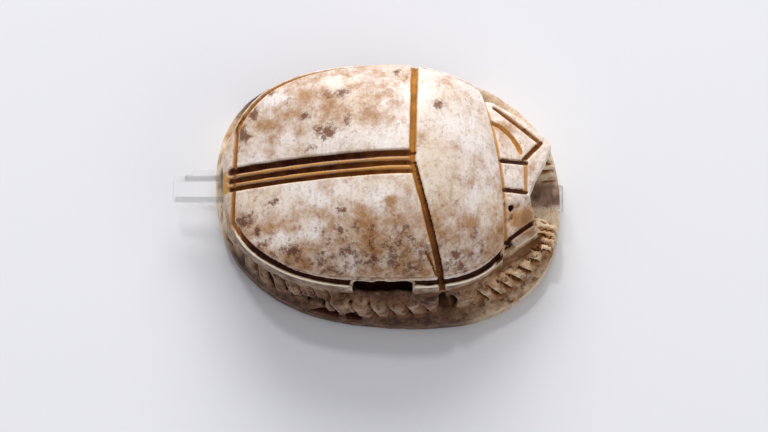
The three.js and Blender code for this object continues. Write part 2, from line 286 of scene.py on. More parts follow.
class Skin:
    """The stone's points in mm, with their outward directions and their neighbours."""

    def __init__(self, mesh):
        self.mesh = mesh
        self.points = np.empty(len(mesh.vertices) * 3)
        mesh.vertices.foreach_get("co", self.points)
        self.points = self.points.reshape(-1, 3) / MM
        edges = np.empty(len(mesh.edges) * 2, dtype=int)
        mesh.edges.foreach_get("vertices", edges)
        self.a, self.b = edges.reshape(-1, 2).T
        self.links = np.bincount(self.a, minlength=len(self.points)) + np.bincount(
            self.b, minlength=len(self.points)
        )
        self.cut = np.zeros(len(self.points))
        self.tone = np.zeros(len(self.points))
        self.turn_outwards()

    def write(self):
        """Puts the points back into the mesh."""
        self.mesh.vertices.foreach_set("co", (self.points * MM).ravel())
        self.mesh.update()

    def turn_outwards(self):
        """Reads the outward directions again after the points have moved."""
        self.write()
        self.outward = np.empty(len(self.points) * 3)
        self.mesh.vertex_normals.foreach_get("vector", self.outward)
        self.outward = self.outward.reshape(-1, 3)

    def mean_of_neighbours(self, values):
        """The mean of a value, or of each column of values, over each point's neighbours."""
        columns = values.reshape(len(self.points), -1)
        out = np.empty_like(columns)
        for k in range(columns.shape[1]):
            total = np.bincount(self.a, columns[self.b, k], len(self.points))
            total += np.bincount(self.b, columns[self.a, k], len(self.points))
            out[:, k] = total / self.links
        return out.reshape(values.shape)

    def relax(self, rounds, where):
        """Smooths the points. where is 0 to 1: how freely each one moves."""
        free = where[:, None] * EASE
        for _ in range(rounds):
            self.points += free * (self.mean_of_neighbours(self.points) - self.points)
        self.turn_outwards()

    def sink(self, depth):
        """Moves each point inwards by its depth in mm."""
        self.points -= self.outward * depth[:, None]
        self.turn_outwards()

    def lay_on(self, tree, where):
        """Moves points to the nearest place on a measured solid, by a share from 0 to 1."""
        chosen = np.flatnonzero(where > 0)
        near = [tree.find_nearest(Vector(self.points[i] * MM))[0] for i in chosen]
        near = np.array(near) / MM
        self.points[chosen] += where[chosen, None] * (near - self.points[chosen])
        self.turn_outwards()


def on_the_dome(points):
    """1 on the back inside its border groove and behind the head, and on the tail's top edge."""
    x, y, z = points.T
    inside = smooth_step(-past_oval(x, y), 0.1, 0.28) * (z > 4.2)
    inside = inside * smooth_step(thorax_end_x(y) - x, 0.1, 0.3)
    tail = smooth_step(-x, 7.2, 7.5) * smooth_step(2.9 - np.abs(y), 0, 0.4) * (z > 3.9)
    return np.maximum(inside, tail)


solid = merged_copy(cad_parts["scarab"])
solid_tree = BVHTree.FromBMesh(solid)
corners = np.array([v.co for v in solid.verts]) / MM
solid_box = (corners.min(axis=0), corners.max(axis=0))
solid.free()
skin = Skin(stone.data)
skin.lay_on(solid_tree, np.ones(len(skin.points)))
skin.relax(SMOOTH_DOME_ROUNDS, on_the_dome(skin.points))
print("smoothed as dome:", round(100 * float(on_the_dome(skin.points).mean())), "% of the points")

# %% Divide what is carved
FLAT_BELOW = 0.03
BESIDE_A_LINE = 0.34
BESIDE_THE_SPINE = 0.9
AROUND_THE_BORE = 0.06


def is_carved(points, outward):
    """Where fine carving comes: along the back's lines, on the head and on the right side."""
    x, y, z = points.T
    on_head = (x > thorax_end_x(y) - 0.1) & (z > 2.9)
    on_lines = np.abs(past_oval(x, y)) < BESIDE_A_LINE
    on_lines |= np.abs(x - seam_x(y)) < BESIDE_A_LINE
    on_lines |= (np.abs(y) < BESIDE_THE_SPINE) & (x < seam_x(y))
    on_lines |= (x < -7.4) & (z > 3.8)
    right_side = (z < 5.2) & (y < 0.5) & (past_oval(x, y) > -1.4)
    in_bore = np.hypot(y, z - BORE_HEIGHT) < BORE_RADIUS + AROUND_THE_BORE
    under = (outward[:, 2] < -0.3) & (z < 4)
    return (on_head | (on_lines & (z > 3)) | right_side) & ~in_bore & ~under & (z > 0.4)


def divide(mesh, fine):
    """Halves every edge between fine points, and makes the flat underside one face."""
    bm = bmesh.new()
    bm.from_mesh(mesh)
    bm.verts.ensure_lookup_table()
    edges = [e for e in bm.edges if fine[e.verts[0].index] and fine[e.verts[1].index]]
    bmesh.ops.subdivide_edges(bm, edges=edges, cuts=1, use_grid_fill=True)
    flat = {f for f in bm.faces if all(v.co.z < FLAT_BELOW * MM for v in f.verts)}
    inner = [e for e in bm.edges if len(e.link_faces) == 2 and flat.issuperset(e.link_faces)]
    bmesh.ops.dissolve_edges(bm, edges=inner, use_verts=True)
    bm.to_mesh(mesh)
    bm.free()


divide(stone.data, is_carved(skin.points, skin.outward))
triangles = sum(len(p.vertices) - 2 for p in stone.data.polygons)
print("stone:", len(stone.data.vertices), "points,", triangles, "triangles")

# %% Crisp legs, worn a little
WEAR_ROUNDS = 3
WEAR = 0.8
SMOOTH_AGAIN_ROUNDS = 8

skin = Skin(stone.data)
rigid = (1 - on_the_dome(skin.points)) * (skin.points[:, 2] > FLAT_BELOW)
skin.lay_on(solid_tree, rigid)
skin.relax(WEAR_ROUNDS, np.where(skin.points[:, 2] < FLAT_BELOW, 0, WEAR))
skin.relax(SMOOTH_AGAIN_ROUNDS, on_the_dome(skin.points))
print("laid back on the solid:", int((rigid > 0).sum()), "points")

# %% [markdown]
# ## Cutting the lines
#
# Each line was scored with a point and opened with a small chisel. It is a V with a rounded foot,
# and its width and depth wander a little. The same function cuts them all. It remembers how deep
# the stone is cut at each point, because earth fills just those places, and how dark that earth is.

# %% Cuts, stains and dents
FULL_CUT = 0.24


def score(distance, wide, deep, where, tone, wander=0.16):
    """Cuts a line of this width and depth, in mm. tone is how dark its earth is, 0 to 1.

    wander is how much the width varies, as a share of it.
    """
    uneven = 1 + wander * stone_noise(skin.points, 0.7, 3, 3.1)
    t = np.clip(distance / (wide / 2 * uneven), 0, 1)
    depth = (1 - t**1.8) * where * deep
    skin.sink(np.maximum(depth - skin.cut * FULL_CUT, 0))
    deeper = depth > skin.cut * FULL_CUT
    skin.cut = np.where(deeper, depth / FULL_CUT, skin.cut)
    uneven_tone = tone + 0.2 * stone_noise(skin.points, 0.5, 3, 12.0)
    skin.tone = np.where(deeper, uneven_tone, skin.tone)


def paint_earth_and_shade(where, amount):
    """Soaks the stone with earth without cutting it, and paints shade the same way. amount is a
    share of a full cut.
    """
    skin.cut = np.maximum(skin.cut, where * amount)


def dig(middle, size, deep):
    """Sinks a soft oval dent of this half size, in mm. A depth below 0 raises a lump."""
    offset = (skin.points - middle) / size
    near = np.einsum("ij,ij->i", offset, offset)
    ragged = 1 + 0.3 * stone_noise(skin.points, 0.3, 3, 8.0)
    inside = smooth_step(1.3 - near * ragged, 0, 1)
    skin.sink(deep * inside)
    # A deep dent takes the darkest earth: earth in it, and painted shade in its depth.
    if deep > 0.1:
        paint_earth_and_shade(inside, min(1.0, deep / FULL_CUT))
        skin.tone = np.where(inside > 0.1, 1.0, skin.tone)


# %% [markdown]
# ## The back's lines
#
# One groove runs round the back inside a narrow rim. The seam parts the wing cases from the
# thorax, and three deep lines close together mark where the wing cases meet. A short notch
# stands before the seam at each shoulder.

# %% Cut the back
SPINE_SIDE = -0.06
SPINE_TURN = 0.004
# Each line's place across the back, its width and the darkness of its earth.
SPINE_LINES = [(0.52, 0.46, 0.95), (0.0, 0.36, 0.8), (-0.45, 0.3, 0.7)]
SPINE_DEEP = 0.28
SPINE_HALF = 0.66
RIDGES_SOAKED = 0.38
# The groove round the back runs almost straight across the tail.
TAIL_LINE = [(-7.6, 3.3), (-7.95, 2.5), (-8.08, 0.0), (-8.14, -2.3), (-7.8, -2.95)]
# The other lines' widths and depths. The groove is wider on the right side by BORDER_WORN.
BORDER_WIDE, BORDER_DEEP, BORDER_WORN = 0.2, 0.22, 0.1
TAIL_WIDE, TAIL_DEEP = 0.3, 0.2
SEAM_WIDE, SEAM_DEEP = 0.42, 0.24
# The seam's edge on the thorax side is cut again, this far from its middle.
SEAM_EDGE, SEAM_EDGE_WIDE, SEAM_EDGE_DEEP = 0.1, 0.2, 0.25
# The notches' widths and depths, by the side of the back, and how far out each starts and ends.
NOTCHES = {-1: (0.2, 0.2), 1: (0.14, 0.06)}
NOTCH_START, NOTCH_END = 4.6, 5.5
SLIP = [(4.7, 0.5), (5.8, 0.56)]
SLIP_WIDE, SLIP_DEEP = 0.12, 0.03


def cut_the_back():
    x, y, z = skin.points.T
    facing_up = skin.outward[:, 2]
    top = smooth_step(facing_up, 0.0, 0.25) * (z > 3.2)
    behind_head = smooth_step(thorax_end_x(y) - x, -0.1, 0.25)
    # On the right side the border is painted darkest: its earth, with the shade of its deeper
    # undercut painted in.
    right = smooth_step(-y, 2.2, 4.2)
    at_tail = smooth_step(-x, 7.3, 7.6) * smooth_step(2.7 - np.abs(y), 0, 0.3)
    ring = np.abs(past_oval(x, y))
    wide = BORDER_WIDE + BORDER_WORN * right
    score(ring, wide, BORDER_DEEP, top * behind_head * (1 - at_tail), 0.15 + 0.85 * right)
    score(line_distance(x, y, TAIL_LINE), TAIL_WIDE, TAIL_DEEP, top, 0.45)
    reach = BACK["half"] + 0.5
    seam = [(seam_x(side * reach), side * reach) for side in (-1, 0, 1)]
    over_the_rim = smooth_step(facing_up, -0.3, 0.1) * (z > 3.4)
    seam_tone = 0.3 + 0.3 * smooth_step(-y, -1, 5)
    score(line_distance(x, y, seam), SEAM_WIDE, SEAM_DEEP, over_the_rim, seam_tone)
    edge = line_distance(x, y, [(px + SEAM_EDGE, py) for px, py in seam])
    score(edge, SEAM_EDGE_WIDE, SEAM_EDGE_DEEP, over_the_rim * (y < 0), 0.8)
    for side, wide, tone in SPINE_LINES:
        across = SPINE_SIDE + side
        tail_x = -BACK["tail"] + 0.05
        line = [(tail_x, across + SPINE_TURN * tail_x), (seam_x(across), across)]
        fades = tone - 0.25 * smooth_step(x, -3, 1)
        score(line_distance(x, y, line), wide, SPINE_DEEP, top, fades)
    # Between the three lines the narrow ridges are soaked with the same earth, but paler.
    middle = SPINE_SIDE + SPINE_TURN * x
    soaked = smooth_step(SPINE_HALF - np.abs(y - middle), 0, 0.12) * (x < seam_x(y)) * top
    paint_earth_and_shade(soaked, RIDGES_SOAKED)
    for hand, (wide, deep) in NOTCHES.items():
        start = (seam_x(hand * NOTCH_START) - 0.5, hand * NOTCH_START)
        end = (seam_x(hand * NOTCH_END) - 0.2, hand * NOTCH_END)
        score(line_distance(x, y, [start, end]), wide, deep, top, 0.6)
    # A fine slip of the point crosses the thorax to its front edge.
    score(line_distance(x, y, SLIP), SLIP_WIDE, SLIP_DEEP, top, 0.3)


cut_the_back()
print("deepest cut in the back", round(float(skin.cut.max()) * FULL_CUT, 2), "mm")

# %% [markdown]
# ## The head's lines
#
# The head is a square central plate, an eye and a cheek on each side, and a shield in front. The
# lines are short and straight, so each was cut in one stroke and is deepest in its middle.

# %% Cut the head
CENTRAL_PLATE = {"side": 0.78, "front": 7.2}
# Where the cheek's line ends in front and the shield's begins.
CHEEK_FRONT = (7.98, 2.02)
STROKE_DEEP = 0.2
# The line across the central plate's front, and the one at the foot of the thorax.
ACROSS_WIDE, ACROSS_DEEP = 0.16, 0.1
STEP_WIDE, STEP_DEEP = 0.22, 0.12


def cut_the_head():
    x, y, z = skin.points.T
    ahead = smooth_step(x - thorax_end_x(y), 0.0, 0.15)
    top = smooth_step(skin.outward[:, 2], 0.3, 0.6) * (z > 3.0) * ahead
    side, front = CENTRAL_PLATE["side"], CENTRAL_PLATE["front"]
    across = [(front, HEAD_MIDDLE - side), (front, HEAD_MIDDLE + side)]
    score(line_distance(x, y, across), ACROSS_WIDE, ACROSS_DEEP, top, 0.2)
    step = np.abs(x - thorax_end_x(y) - 0.1)
    score(step, STEP_WIDE, STEP_DEEP, smooth_step(z, 3.6, 3.9) * ahead, 0.25)
    for hand in (-1, 1):
        # The line's points, its width and the darkness of its earth.
        strokes = [
            ([(5.9, side), (front, side)], 0.26, 0.8),
            ([(5.55, 3.85), CHEEK_FRONT], 0.24, 0.45 if hand > 0 else 0.95),
        ]
        if hand > 0:
            # The left eye's arc and the line behind the shield are sharp. The right ones are lost.
            arc = [(5.2, 3.0), (5.85, 2.72), (6.45, 2.2), (6.75, 1.75), (6.95, 1.35)]
            strokes.append((arc, 0.24, 0.15))
            strokes.append(([CHEEK_FRONT, (7.1, 0.95)], 0.24, 0.5))
        for stroke, wide, tone in strokes:
            placed = [(px, HEAD_MIDDLE + hand * py) for px, py in stroke]
            score(line_distance(x, y, placed), wide, STROKE_DEEP, top, tone)


cut_the_head()
print("cut so far:", int((skin.cut > 0).sum()), "points")

# %% [markdown]
# ## Two hollows on the right side
#
# Beside the right cheek the carver went deeper, so that the cheek's side shows. Under the right
# wing case, where the rim is lost, a dark undercut lies open. Both only lower the stone, so they
# are cut straight down, and the second is painted with the darkest earth colour as painted shade.

# %% Hollow the right side
# The right cheek's outer side, from the thorax to the broken shield.
RIGHT_CHEEK = [(5.45, -4.03), (6.7, -3.38), (8.1, -2.33)]
CHEEK_HOLLOW = 0.4
WING_HOLLOW = 0.5


def hollow_beside_the_cheek():
    """The stone between the right cheek and the front leg lies deeper."""
    x, y, z = skin.points.T
    edge_x, edge_y = zip(*RIGHT_CHEEK)
    outside = np.interp(x, edge_x, edge_y) - y
    beside = smooth_step(outside, 0.02, 0.12) * smooth_step(1.0 - outside, 0, 0.6)
    ground = (z > 2.2) & (z < 3.75) & (skin.outward[:, 2] > 0.4)
    along = smooth_step(x, 5.5, 5.9) * smooth_step(8.2 - x, 0, 0.4)
    skin.points[:, 2] -= CHEEK_HOLLOW * beside * ground * along
    skin.turn_outwards()


def hollow_under_the_wing_case():
    """Where the rim is lost, the stone under the edge of the wing case is cut away, with painted
    shade in it.
    """
    x, y, z = skin.points.T
    ragged = 0.12 * stone_noise(skin.points, 0.6, 3, 6.0)
    under = smooth_step(-0.1 - past_oval(x, y) + ragged, 0, 0.3) * (y < 0) * (z < 3.6) * (z > 2.4)
    along = smooth_step(x, -1.95, -1.6) * smooth_step(1.4 - x, 0, 0.2)
    hollowed = under * along * (skin.outward[:, 2] > 0)
    skin.points[:, 2] -= WING_HOLLOW * hollowed
    # Painted shade: the undercut takes the darkest earth colour.
    paint_earth_and_shade(hollowed, 1.0)
    dark = 0.75 + 0.25 * smooth_step(hollowed, 0.2, 0.7)
    skin.tone = np.where(hollowed > 0, dark, skin.tone)
    skin.turn_outwards()
    return hollowed


hollow_beside_the_cheek()
undercut = hollow_under_the_wing_case()
print("undercut:", int((undercut > 0).sum()), "points")

# %% [markdown]
# ## The legs
#
# Each leg is a row of ribs along the plate's edge, rounded like knuckles, with a V cut between
# each two. Their places are angles round the plate, 180 at the tail and 0 at the head, as in the
# solid. The ribs lean a little, and each V is widest at the foot of the leg.

# %% Carve the ribs
# Each row's first and last angle and its number of ribs. Then its lean in degrees, and in mm its
# gaps' width, its ribs' rounding, how far in it reaches from the plate's edge, and its top.
RIB_ROWS = [
    (168, 146, 3, 5, 0.2, 0.1, 1.0, 3.7),
    (146, 114, 5, 5, 0.18, 0.08, 1.2, 4.0),
    (105, 73, 4, 4, 0.24, 0.12, 0.85, 3.4),
    (47.5, 18.5, 6, 3, 0.2, 0.14, 1.3, 3.3),
    (18.5, 8, 4, 0, 0.13, 0.1, 1.1, 2.8),
]
LEG_MIDDLE, LEG_HEIGHT = 2.4, 1.6
RIB_CUT = 0.22
# All ribs are moved along their row by this share of a rib's width.
RIB_SHIFT = 0.03
# A row's first and last V may be cut this share of a rib's width past the row.
PAST_THE_ROW = 0.3
# At the top of the leg each V is 1 + V_CLOSES times narrower than at its foot.
V_CLOSES = 0.9


def carve_the_ribs():
    """Rounds every rib and cuts the V beside it. Returns how much of a rib's crown each point is."""
    crown = np.zeros(len(skin.points))
    x, y, z = skin.points.T
    across = across_plate(x, y)
    inset = -past_oval(x, across, PLATE)
    out = np.hypot(x, across)
    bearing = np.degrees(np.arctan2(across, x))
    foot = smooth_step(z, PLATE_TOP + 0.05, PLATE_TOP + 0.2)
    row_ends = [end for _, end, *_ in RIB_ROWS]
    for hand in (-1, 1):
        for start, end, ribs, lean, gap, rounding, reach, top in RIB_ROWS:
            rise = lean * (z - LEG_MIDDLE) / LEG_HEIGHT
            place = (start - bearing * hand + rise) / (start - end) * ribs + RIB_SHIFT
            here = foot * smooth_step(top - z, 0, 0.2) * (np.sign(across) == hand)
            here = here * smooth_step(reach - inset, 0, 0.4)
            # A row that goes on from another shares that one's last gap.
            first = PAST_THE_ROW if start in row_ends else -PAST_THE_ROW
            here = here * (place > first) * (place < ribs + PAST_THE_ROW)
            # 0 in the middle of a gap and 1 in the middle of a rib.
            beside = 2 * np.abs(place - np.round(place))
            round_top = np.sqrt(np.clip(1 - (1 - beside) ** 2, 0, 1))
            skin.sink(rounding * (1 - round_top) * here)
            away = beside / 2 * np.radians((start - end) / ribs) * out
            closing = 1 + V_CLOSES * smooth_step(z, 1.9, 3.2)
            # The earth in the gaps is dark, with the shade between the ribs painted in; between the
            # front ribs it is lighter.
            tone = 1 - 0.4 * smooth_step(x, 2.5, 5.0)
            score(away * closing, gap, RIB_CUT, here, tone)
            crown = np.maximum(crown, here * round_top)
    return crown


crowns = carve_the_ribs()
print("ribs on each side:", sum(row[2] for row in RIB_ROWS))

# %% [markdown]
# ## Damage
#
# Some of the carving is lost. The rim is broken away along part of the right side, the plate's
# edge there is cracked, and the right eye and cheek are pitted. A drill left deep pits behind
# the cheek and between the middle leg and the front one. Every surface also wavers a little, as
# hand-cut stone does.

# %% Pits, cracks and breaks
# Cracks along the plate's right edge. For both ends of each: its place along the length, its
# width, and its height above the table.
CRACKS = [
    ((-4.4, 0.16, 1.12), (-2.65, 0.95, 1.42)),
    ((-2.65, 0.12, 1.42), (-2.15, 0.16, 1.45)),
    ((-2.15, 0.95, 1.42), (-1.45, 0.7, 1.42)),
    ((-0.2, 0.14, 1.2), (1.0, 0.1, 1.15)),
]
# How deep the cracks are, how far in from the plate's edge they open, and how ragged they are.
CRACK_DEEP, CRACK_INSET, CRACK_WANDER = 0.34, 0.18, 0.4
# How deep the surface wavers, shows the chisel, and is torn where stone broke off.
WAVER, TOOLED, TORN = 0.03, 0.04, 0.09
# Each dent's middle, half size and depth, all in mm.
DENTS = [
    # drilled pits between the legs and behind the right cheek
    ((3.3, -6.0, 2.3), (0.34, 0.5, 0.8), 0.4),
    ((6.35, -3.6, 3.5), (0.26, 0.5, 0.6), 0.5),
    # the worn right eye and cheek
    ((6.45, -1.58, 4.4), (0.18, 0.2, 0.3), 0.24),
    ((7.3, -2.3, 4.3), (0.5, 0.4, 0.4), 0.08),
    ((6.3, -1.25, 4.6), (0.32, 0.22, 0.3), -0.08),
    # small losses on the back
    ((-6.1, -1.55, 5.9), (0.3, 0.14, 0.4), 0.03),
    ((3.83, -0.88, 7.5), (0.2, 0.12, 0.4), 0.03),
    ((1.9, -4.58, 6.2), (0.24, 0.14, 0.4), 0.04),
]


def roughen():
    """A broad waver everywhere, a finer one on the unrubbed sides, most where stone broke off."""
    x, y, z = skin.points.T
    rubbed = on_the_dome(skin.points)
    lost_rim = smooth_step(-y, 4.9, 5.3) * smooth_step(2.0 - np.abs(x + 0.3), 0, 0.5) * (z > 2.6)
    lost_shield = smooth_step(x, 7.2, 7.6) * smooth_step(0.8 - y, 0, 0.8) * (z > 2.0)
    broken = np.maximum(lost_rim, lost_shield) * (1 - rubbed)
    waver = WAVER * stone_noise(skin.points, 2.2, 2, 5.0)
    smooth_rim = smooth_step(z - (rim_level(x) - RIM_FLANK), 0, 0.2)
    tooled = TOOLED * stone_noise(skin.points, 0.5, 3, 9.0) * (1 - 0.8 * rubbed)
    tooled = tooled * (1 - 0.7 * smooth_rim)
    torn = TORN * stone_noise(skin.points, 0.4, 3, 15.0) * broken
    skin.sink(np.where(z < FLAT_BELOW, 0, waver + tooled + torn))


def crack_the_edge():
    """Opens each crack on the right side of the plate's edge."""
    x, y, z = skin.points.T
    inset = -past_oval(x, across_plate(x, y), PLATE)
    for start, end in CRACKS:
        t = np.clip((x - start[0]) / (end[0] - start[0]), 0, 1)
        wide, height = (start[i] + (end[i] - start[i]) * t for i in (1, 2))
        along = smooth_step(x, start[0] - 0.1, start[0]) * smooth_step(end[0] + 0.1 - x, 0, 0.1)
        away = np.hypot(np.maximum(inset - CRACK_INSET, 0), z - height)
        score(away, wide, CRACK_DEEP, along * (y < 0), 1.0, CRACK_WANDER)


roughen()
crack_the_edge()
for middle, size, deep in DENTS:
    dig(middle, size, deep)
# The worn stone stays inside the measured one.
skin.points = np.clip(skin.points, *solid_box)
skin.turn_outwards()
print("worn stone, in mm:", skin.points.min(axis=0).round(2), skin.points.max(axis=0).round(2))

# %% [markdown]
# ## What the surface remembers
#
# Earth, wear and light all follow the shape, so the shape is measured once and stored on the
# points. hollow is how much of the sky a point can't see, found by sending rays out from it.
# crease is how sharply the surface folds in, and edge how sharply it turns out.

# %% Measure hollows, creases and edges
SKY_RAYS = 14
SKY_REACH = 2.5 * MM
# A ray starts this far above its point, so that it doesn't meet the point's own faces.
RAY_LIFT = 0.03 * MM
HOLLOW_ROUNDS = 3
BULGE_ROUNDS = 10
# A point that stands out or folds in by this much, in mm, counts in full.
FULL_BULGE = 0.03


def sky_lost():
    """For each point, the share of rays over its own half-space that meet the stone again."""
    tree = BVHTree.FromPolygons(
        [v.co for v in stone.data.vertices], [p.vertices for p in stone.data.polygons]
    )
    golden = math.pi * (3 - math.sqrt(5))
    rays = []
    for i in range(SKY_RAYS):
        height = (i + 0.5) / SKY_RAYS
        radius = math.sqrt(1 - height * height)
        rays.append(Vector((radius * math.cos(golden * i), radius * math.sin(golden * i), height)))
    lost = np.zeros(len(skin.points))
    for i, (point, outward) in enumerate(zip(skin.points * MM, skin.outward)):
        normal = Vector(outward)
        start = Vector(point) + normal * RAY_LIFT
        turn = normal.to_track_quat("Z", "Y")
        hits = sum(tree.ray_cast(start, turn @ ray, SKY_REACH)[0] is not None for ray in rays)
        lost[i] = hits / SKY_RAYS
    return lost


def bulge():
    """How far each point stands out from its smoothed surroundings, in mm."""
    soft = skin.points.copy()
    for _ in range(BULGE_ROUNDS):
        soft += EASE * (skin.mean_of_neighbours(soft) - soft)
    return np.einsum("ij,ij->i", skin.points - soft, skin.outward)


def store(mesh, name, values):
    """Keeps one value per point, which the material reads by name."""
    attribute = mesh.attributes.new(name, "FLOAT", "POINT")
    attribute.data.foreach_set("value", values.astype(np.float32))


hollow = sky_lost()
for _ in range(HOLLOW_ROUNDS):
    hollow += EASE * (skin.mean_of_neighbours(hollow) - hollow)
stands_out = bulge()
# Each cut's tone runs on to the points beside it, so its edge doesn't fade through another tone.
around = skin.mean_of_neighbours(skin.cut)
spread = skin.mean_of_neighbours(skin.cut * skin.tone) / np.maximum(around, 1e-6)
skin.tone = np.where((skin.cut < 0.05) & (around > 0.02), spread, skin.tone)
store(stone.data, "cut", np.clip(skin.cut, 0, 1))
store(stone.data, "tone", np.clip(skin.tone, 0, 1))
# hollow paints shade; less of it is painted between the front legs.
less_shade_painted_in_front = 0.75 * smooth_step(skin.points[:, 0], 2.5, 6.0)
store(stone.data, "hollow", np.clip(hollow * (1 - less_shade_painted_in_front), 0, 1))
store(stone.data, "crease", np.clip(-stands_out / FULL_BULGE, 0, 1))
store(stone.data, "edge", np.clip(stands_out / FULL_BULGE, 0, 1))
print("hollow mean", round(float(hollow.mean()), 3))

# %% [markdown]
# ## Where the glaze is left
#
# The glaze holds on the rubbed back, the head and the outside of the rim. Under the rim it has
# gone, and the stone is brown with earth. The front legs and toes are painted paler, as painted
# light from the front.

# %% Washes, pale patches and blots
# Each spot: x and y, its half length and half width in mm, and its strength.
TAN_WASHES = [
    (-3.0, 3.4, 1.5, 1.0, 0.9),
    (-5.5, 3.2, 1.2, 0.9, 0.7),
    (0.1, 3.5, 1.2, 1.4, 0.6),
    (-2.0, 4.3, 2.0, 0.7, 0.7),
    (-1.4, -3.0, 1.5, 0.9, 1.0),
    (-0.8, -3.8, 1.2, 0.8, 0.9),
    (0.1, -2.4, 0.6, 0.9, 0.9),
    (1.2, -3.6, 0.5, 1.6, 0.7),
    (-4.6, -4.4, 1.0, 0.6, 0.6),
    (-2.6, -3.9, 1.0, 0.7, 0.7),
    (-7.0, -2.6, 0.7, 0.9, 0.5),
    (4.3, -0.7, 0.4, 1.0, 0.8),
    (4.6, -3.6, 1.2, 1.2, 0.7),
    (-0.8, -5.1, 2.4, 0.6, 0.7),
    (3.4, -4.9, 1.4, 0.7, 0.7),
    (7.1, -2.2, 0.8, 1.1, 1.5),
    (6.1, 2.9, 0.7, 0.5, 0.9),
    (3.9, 2.6, 0.5, 0.6, 0.5),
]
WHITE_PATCHES = [
    (-2.7, 4.75, 0.9, 0.3, 1.0),
    (-5.9, 4.2, 0.5, 0.3, 0.9),
    (0.4, 1.45, 0.9, 0.4, 0.9),
    (-2.3, 1.3, 1.2, 0.35, 0.9),
    (-0.9, -1.5, 1.4, 0.45, 1.0),
    (-4.35, -1.7, 1.0, 0.4, 0.8),
    (-5.5, -3.7, 0.6, 0.4, 0.9),
    (-4.2, -3.2, 0.6, 0.5, 0.7),
    (-2.0, -4.5, 0.5, 0.3, 0.5),
    (1.7, 3.5, 0.8, 1.6, 0.9),
    (2.6, 0.5, 0.7, 1.6, 0.7),
    (4.8, -1.6, 0.5, 1.2, 0.9),
    (4.0, 2.0, 0.9, 1.0, 0.6),
]
BROWN_BLOTS = [
    (-7.0, 3.4, 0.35, 0.5, 0.8),
    (-7.5, 2.35, 0.35, 0.6, 1.0),
    (-7.75, 1.45, 0.25, 0.4, 1.0),
    (-6.1, 4.4, 0.25, 0.2, 0.8),
    (-5.2, 3.8, 0.35, 0.3, 0.6),
    (-4.4, 2.8, 0.35, 0.35, 1.0),
    (-3.25, 1.9, 0.75, 0.5, 1.0),
    (-3.9, 1.1, 0.35, 0.25, 0.8),
    (-3.2, 4.0, 0.4, 0.5, 0.8),
    (-2.4, 4.1, 0.5, 0.4, 0.8),
    (-2.0, 2.45, 0.4, 0.5, 0.8),
    (0.5, 5.2, 0.3, 0.3, 1.0),
    (-7.0, -1.9, 0.25, 0.25, 0.8),
    (-5.9, -1.6, 0.6, 0.3, 0.8),
    (-7.4, -2.3, 0.5, 0.6, 0.9),
    (-6.8, -3.1, 0.35, 0.4, 1.0),
    (-6.3, -3.9, 0.3, 0.35, 0.9),
    (-4.9, -4.2, 0.6, 0.35, 0.9),
    (-2.5, -2.5, 0.3, 0.25, 0.8),
    (-2.6, -3.4, 0.4, 0.5, 0.8),
    (-2.1, -4.6, 0.4, 0.4, 0.9),
    (-3.5, -4.9, 0.5, 0.3, 0.8),
    (-0.7, -4.9, 0.9, 0.25, 0.9),
    (0.5, -4.3, 0.4, 0.4, 0.9),
    (0.3, -3.4, 0.3, 0.3, 0.7),
    (2.45, 3.25, 0.3, 0.3, 1.0),
    (3.8, -0.9, 0.22, 0.3, 0.9),
    (3.5, -1.9, 0.25, 0.4, 0.7),
    (1.9, -4.58, 0.3, 0.2, 1.3),
    (5.1, -4.3, 0.5, 0.3, 0.7),
    (3.5, -4.6, 0.45, 0.25, 0.9),
    (3.9, -5.0, 0.3, 0.3, 0.9),
]
# How far, and over what size, the noise pushes a spot's outline, in mm.
RAGGED_BY, RAGGED_SIZE = 0.28, 0.55


def patches(spots, base):
    """The strongest of a list of ovals at each point of the upper side, with ragged outlines."""
    ragged = skin.points[:, :2].T.copy()
    for axis, shift in enumerate((20.0, 40.0)):
        ragged[axis] += RAGGED_BY * stone_noise(skin.points, RAGGED_SIZE, 3, shift)
    total = base.copy()
    for px, py, long, wide, strength in spots:
        near = ((ragged[0] - px) / long) ** 2 + ((ragged[1] - py) / wide) ** 2
        total = np.maximum(total, strength * np.exp(-near))
    return total * smooth_step(skin.outward[:, 2], -0.1, 0.2)


x, y, z = skin.points.T
on_wings = smooth_step(seam_x(y) - x, 0, 0.3)
# Tan lies over all of the back, most on its right side and on the left wing case.
overall = 0.3 + 0.4 * smooth_step(-y, 0.8, 3.5) + 0.25 * smooth_step(y, 1.0, 2.5) * on_wings
washes = patches(TAN_WASHES, overall) - patches(WHITE_PATCHES, np.zeros(len(overall)))
store(stone.data, "tan", np.clip(washes, 0, 2))
store(stone.data, "brown", patches(BROWN_BLOTS, 0.15 + 0.35 * smooth_step(-y, 2.0, 4.5)))
print(len(TAN_WASHES), "washes,", len(WHITE_PATCHES), "pale patches,", len(BROWN_BLOTS), "blots")

# %% Glaze, pale stone and rubbed edges
# The underside is one face with many corners. It stays flat, and all smaller faces are smooth.
CORNERS_OF_A_FLAT_FACE = 9


def glaze_left():
    """How much glaze is left at each point, 0 to 1."""
    x, y, z = skin.points.T
    above_flank = smooth_step(z - (rim_level(x) - RIM_FLANK), 0.05, 0.3)
    on_head = smooth_step(x - thorax_end_x(y), -0.1, 0.1)
    head = smooth_step(z, 3.3, 3.6)
    inside_rim = smooth_step(0.5 - past_oval(x, y), 0, 0.1)
    # The right flank of the rim is worn and dirty, apart from its upper edge.
    flank = smooth_step(past_oval(x, y), 0.1, 0.24) * smooth_step(-y, 0, 2)
    dirty = flank * smooth_step(rim_level(x) - 0.1 - z, 0, 0.2)
    return np.where(on_head > 0.5, head, above_flank * inside_rim * (1 - 0.6 * dirty))


glaze = glaze_left()
store(stone.data, "glaze", glaze)
